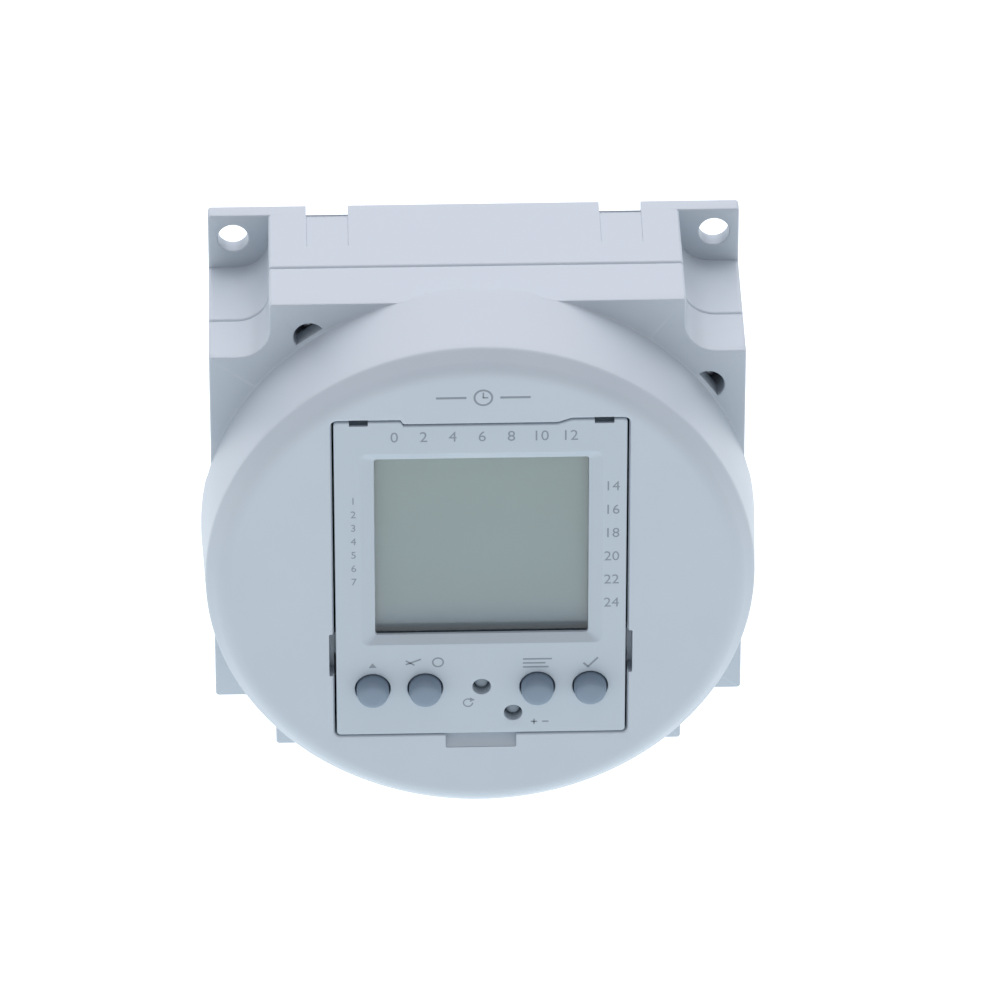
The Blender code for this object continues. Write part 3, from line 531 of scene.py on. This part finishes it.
def numeral(text, x, z, height):
    """A number in the plain built-in typeface, its middle at (x, z), as a mesh that stands on the face."""
    curve = bpy.data.curves.new("numeral", "FONT")
    curve.body, curve.size, curve.align_x, curve.align_y = text, height / 0.69, "CENTER", "CENTER"
    curve.extrude, curve.resolution_u = 0.008, 3
    shape = bpy.data.objects.new("numeral", curve)
    bpy.context.scene.collection.objects.link(shape)
    bpy.context.view_layer.update()
    mesh = bpy.data.meshes.new_from_object(shape.evaluated_get(bpy.context.evaluated_depsgraph_get()))
    flat = np.empty(len(mesh.vertices) * 3)
    mesh.vertices.foreach_get("co", flat)
    flat = flat.reshape(-1, 3)
    placed = np.stack([x + flat[:, 0], -SEAT - 0.004 - flat[:, 2], z + flat[:, 1]], axis=1) / 1000.0
    mesh.vertices.foreach_set("co", placed.ravel())
    bpy.data.objects.remove(shape, do_unlink=True)
    label = bpy.data.objects.new(f"print_{text}_{abs(round(x * 10))}", mesh)
    bpy.context.scene.collection.objects.link(label)
    settle(label, ink, "case", "panel_grey")


for text, x in zip(("0", "2", "4", "6", "8", "10", "12"), np.linspace(-10.5, 10.9, 7)):
    numeral(text, x, 22.25, 1.45)
for text, z in zip(("14", "16", "18", "20", "22", "24"), np.linspace(14.7, -2.6, 6)):
    numeral(text, 16.1, z, 1.35)
for text, z in zip("1234567", np.linspace(13.0, 1.0, 7)):
    numeral(text, -15.6, z, 1.0)


def ring(x, z, outer, inner, start=0.0, stop=360.0):
    """A band of a circle between two radii, from start to half a degree before stop."""
    return np.concatenate([arc((x, z), outer, start, stop - 0.5, 33),
                           arc((x, z), inner, stop - 0.5, start, 33)])


def stroke(x0, z0, x1, z1, width):
    """A straight line of the given width between two points."""
    along = np.array([x1 - x0, z1 - z0])
    across = np.array([-along[1], along[0]]) / np.hypot(*along) * width / 2
    return np.array([(x0, z0) + across, (x0, z0) - across, (x1, z1) - across, (x1, z1) + across])


film("print_clock_sign", [ring(0.35, 27.95, 1.2, 0.95), stroke(0.35, 27.9, 0.35, 28.7, 0.2),
                          stroke(0.3, 27.95, 0.95, 27.95, 0.2), stroke(-5.4, 27.95, -1.7, 27.95, 0.3),
                          stroke(2.4, 27.95, 6.1, 27.95, 0.3)])
film("print_key_signs", [
    [(-13.9, -11.9), (-12.9, -11.9), (-13.4, -11.2)],
    ring(-5.3, -11.2, 0.75, 0.55),
    stroke(-9.3, -11.5, -7.4, -10.7, 0.22), stroke(-9.3, -10.9, -8.2, -11.6, 0.2),
    stroke(5.2, -10.9, 8.8, -10.9, 0.22), stroke(5.2, -11.5, 8.0, -11.5, 0.22),
    stroke(5.2, -12.1, 8.4, -12.1, 0.22),
    stroke(12.7, -11.6, 13.3, -12.2, 0.25), stroke(13.25, -12.2, 14.5, -10.8, 0.25),
    ring(-1.6, -17.4, 0.65, 0.48, 60, 360), [(-1.35, -16.6), (-0.75, -16.95), (-1.35, -17.3)],
    stroke(6.2, -20.4, 7.0, -20.4, 0.2), stroke(6.6, -20.0, 6.6, -20.8, 0.2),
    stroke(7.6, -20.4, 8.4, -20.4, 0.2)])

# ---------------------------------------------------------------- tabs, latch and fixings
# Five flat tabs punched from 0.8 mm tinned brass, a black polyamide rail foot with its steel spring,
# and four zinc plated self-tapping screws.


def rolled_metal(name, bright, dull, roughness, grain=(9000.0, 900.0, 900.0)):
    """Drawn or rolled metal: a fine grain stretched along the rolling direction varies its gloss
    and tone."""
    material, tree, shader, where = begin(name, Metallic=1.0)
    stretch = add(tree, "ShaderNodeMapping", {"Vector": where, "Scale": grain})
    lines = add(tree, "ShaderNodeTexNoise", {"Vector": stretch.outputs["Vector"], "Scale": 1.0,
                                             "Detail": 3.0})
    toned(tree, shader, lines.outputs["Fac"], dull, bright)
    gloss = add(tree, "ShaderNodeMapRange", {"Value": lines.outputs["Fac"], "To Min": roughness - 0.08,
                                             "To Max": roughness + 0.1})
    tree.links.new(gloss.outputs["Result"], shader.inputs["Roughness"])
    embossed(tree, shader, lines.outputs["Fac"], 0.3, 0.000004)
    return material


tinned = rolled_metal("tinned_brass_rolled", "#d9d6cd", "#b9b4a6", 0.32, (900.0, 900.0, 9000.0))
for number in range(1, 6):
    broken_edges(f"tab_terminal_{number}", 0.12, tinned)
foot_black = moulded("moulded_polyamide_black", "#2b2d30", "#222427", 0.48, 1.53, grain=0.2, relief=0.012)
broken_edges("rail_latch", 0.2, foot_black)


def dress(material, *nodes):
    """Gives CAD nodes that stay in view, or inside the case, their finish."""
    for node in nodes:
        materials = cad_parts[node].data.materials
        materials.clear()
        materials.append(material)


# The foot's spring: 0.36 mm wire in six turns, the end ones closed. It stands on the cover's lug and
# shortens as the foot is pulled.
COIL_DEPTH, COIL_R, WIRE_R = 33.8, 0.95, 0.18
turn = np.linspace(0, 12 * np.pi, 217)
rise = np.interp(turn, np.array([0.0, 0.8, 5.2, 6.0]) * 2 * np.pi, [-27.7, -27.35, -22.35, -22.0])
section = arc((COIL_R, 0.0), WIRE_R, 0, 330, 12)
loops = [np.stack([section[:, 0] * np.cos(t), COIL_DEPTH + section[:, 0] * np.sin(t), z + section[:, 1]],
                  axis=1) for t, z in zip(turn, rise)]
spring_wire = rolled_metal("spring_steel_wire", "#b9bcc0", "#8d9196", 0.28)
spring = solid("rail_foot_spring", [(loops, False)])
settle(spring, spring_wire, "case", "spring_steel", "latch_spring")
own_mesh(spring)
dress(spring_wire, "battery_contact")
dress(rolled_metal("zinc_plated_steel", "#c3c6c8", "#9da2a6", 0.35),
      *(f"case_screw_{number}" for number in range(1, 5)))

# ---------------------------------------------------------------- inside the insert
# Behind the display: a black holder, the rubber strips that join cell and board, the board with its
# switches, chip, crystal and backup cell, and the pins to the power board.

black_abs = moulded("moulded_abs_black", "#2e3033", "#242629", 0.45, 1.54)
dress(black_abs, "lcd_holder", "battery_holder", "pin_socket", "relay_base")
dress(moulded("moulded_phenolic_switch_black", "#33353a", "#27292d", 0.4, 1.6, grain=0.12),
      *(f"{name}_switch" for name in ("up", "override", "menu", "ok", "reset", "hour_shift")))
dress(moulded("epoxy_chip_package", "#3a3b3d", "#2c2d2f", 0.55, 1.55, grain=0.08),
      "microcontroller", "rectifier")
dress(rolled_metal("silvered_reflector_film", "#dfe3e4", "#cdd2d4", 0.25), "lcd_reflector")
dress(rolled_metal("nickel_plated_can", "#cfcdc6", "#b3b0a8", 0.25), "backup_battery", "clock_crystal")
dress(tinned, "pin_header", "relay_contact_arm", "relay_fixed_contact")

# Conductive rubber: black and pink layers 0.1 mm thick, drawn at 0.2 mm so that they show.
rubber, tree, shader, where = begin("layered_silicone_rubber", IOR=1.43, Roughness=0.6)
layers = add(tree, "ShaderNodeTexWave", {"Vector": where, "Scale": 780.0, "Distortion": 0.4},
             bands_direction="X")
toned(tree, shader, layers.outputs["Fac"], "#2a2628", "#c69a98")
dress(rubber, "contact_strip_top", "contact_strip_bottom")

# Glass epoxy board under green solder resist: the weave, a thread to each millimetre, shows faintly
# through the gloss.
laminate, tree, shader, where = begin("glass_epoxy_green_resist", IOR=1.55, Roughness=0.3)
across = add(tree, "ShaderNodeTexWave", {"Vector": where, "Scale": 310.0}, bands_direction="X")
upwards = add(tree, "ShaderNodeTexWave", {"Vector": where, "Scale": 310.0}, bands_direction="Z")
weave = add(tree, "ShaderNodeMath", {0: across.outputs["Fac"], 1: upwards.outputs["Fac"]},
            operation="MULTIPLY")
toned(tree, shader, weave.outputs["Value"], "#1f5a3c", "#2c6b49")
embossed(tree, shader, weave.outputs["Value"], 0.2, 0.00001)
dress(laminate, "logic_board", "power_board")

# ---------------------------------------------------------------- power side
# The film capacitor that feeds the timer, its smoothing capacitor, varistor and fuse resistor, and
# the relay: clear cover, copper coil, iron yoke and armature.

dress(moulded("moulded_capacitor_case_ochre", "#b9863e", "#a97733", 0.4, 1.55, grain=0.15),
      "dropper_capacitor")
dress(moulded("shrink_sleeve_dark_blue", "#2b3566", "#222b57", 0.35, 1.5, grain=0.3),
      "smoothing_capacitor")
dress(moulded("dipped_lacquer_blue_green", "#3b7a86", "#316c78", 0.35, 1.52, grain=0.4, relief=0.03),
      "varistor", "fuse_resistor")
dress(rolled_metal("soft_iron_plated", "#b4b2ad", "#95938e", 0.4), "relay_yoke", "relay_armature")

# Enamelled wire 0.1 mm thick wound in even turns, drawn 0.5 mm apart so that the turns show.
copper, tree, shader, where = begin("enamelled_copper_winding", Metallic=1.0, Roughness=0.3)
turns = add(tree, "ShaderNodeTexWave", {"Vector": where, "Scale": 620.0, "Distortion": 0.2},
            bands_direction="Y")
toned(tree, shader, turns.outputs["Fac"], "#7d3a1c", "#c8703c")
embossed(tree, shader, turns.outputs["Fac"], 0.6, 0.00006)
dress(copper, "relay_coil")

# Relay cover: clear polycarbonate with a little smoke in it and a fine moulded haze.
smoke, tree, shader, where = begin("smoked_polycarbonate", IOR=1.585, Transmission_Weight=1.0)
shader.inputs["Base Color"].default_value = colour("#cfd6da")
haze = add(tree, "ShaderNodeTexNoise", {"Vector": where, "Scale": 700.0, "Detail": 2.0})
gloss = add(tree, "ShaderNodeMapRange", {"Value": haze.outputs["Fac"], "To Min": 0.06, "To Max": 0.2})
tree.links.new(gloss.outputs["Result"], shader.inputs["Roughness"])
dress(smoke, "relay_cover")

# ---------------------------------------------------------------- studio
# A white paper floor that glows, under a dim sky that brightens overhead and a little behind, so that
# the upper rim reads darker than the face and the top of the case lighter.

FLOOR_HALF, FLOOR_LEVEL = 6.0, -0.0413
floor_mesh = bpy.data.meshes.new("studio_floor")
floor_mesh.from_pydata([(x * FLOOR_HALF, y * FLOOR_HALF, FLOOR_LEVEL)
                        for x, y in ((-1, -1), (1, -1), (1, 1), (-1, 1))], [], [(0, 1, 2, 3)])
floor = bpy.data.objects.new("studio_floor", floor_mesh)
bpy.context.scene.collection.objects.link(floor)
paper, tree, shader, where = begin("white_paper", Roughness=0.9, Emission_Strength=1.3)
shader.inputs["Base Color"].default_value = colour("#6a6a6a")
shader.inputs["Emission Color"].default_value = colour("#f4fbff")
floor_mesh.materials.append(paper)

world = bpy.data.worlds.new("soft_sky")
world.use_nodes = True
sky = world.node_tree
bpy.context.scene.world = world
direction = add(sky, "ShaderNodeTexCoord").outputs["Generated"]
overhead = add(sky, "ShaderNodeVectorMath", {0: direction, 1: (0.0, 0.56, 0.828)}, operation="DOT_PRODUCT")
level = add(sky, "ShaderNodeMapRange", {"Value": overhead.outputs["Value"], "From Min": 0.5, "From Max": 0.97,
                                        "To Min": 0.5, "To Max": 2.2}, interpolation_type="SMOOTHSTEP")
sky.links.new(level.outputs["Result"], sky.nodes["Background"].inputs["Strength"])
sky.nodes["Background"].inputs["Color"].default_value = (1.0, 0.975, 1.015, 1.0)

camera_data = bpy.data.cameras.new("camera")
camera_data.lens, camera_data.sensor_width = 329.37, 36.0
camera_data.clip_start, camera_data.clip_end = 0.05, 30.0
camera = bpy.data.objects.new("camera", camera_data)
bpy.context.scene.collection.objects.link(camera)
camera.location = (-0.02240, -0.95629, 0.64107)
camera.rotation_euler = (np.radians(90 - 34.17), 0.0, np.radians(-1.534))
bpy.context.scene.camera = camera
bpy.context.scene.view_settings.view_transform = "Standard"
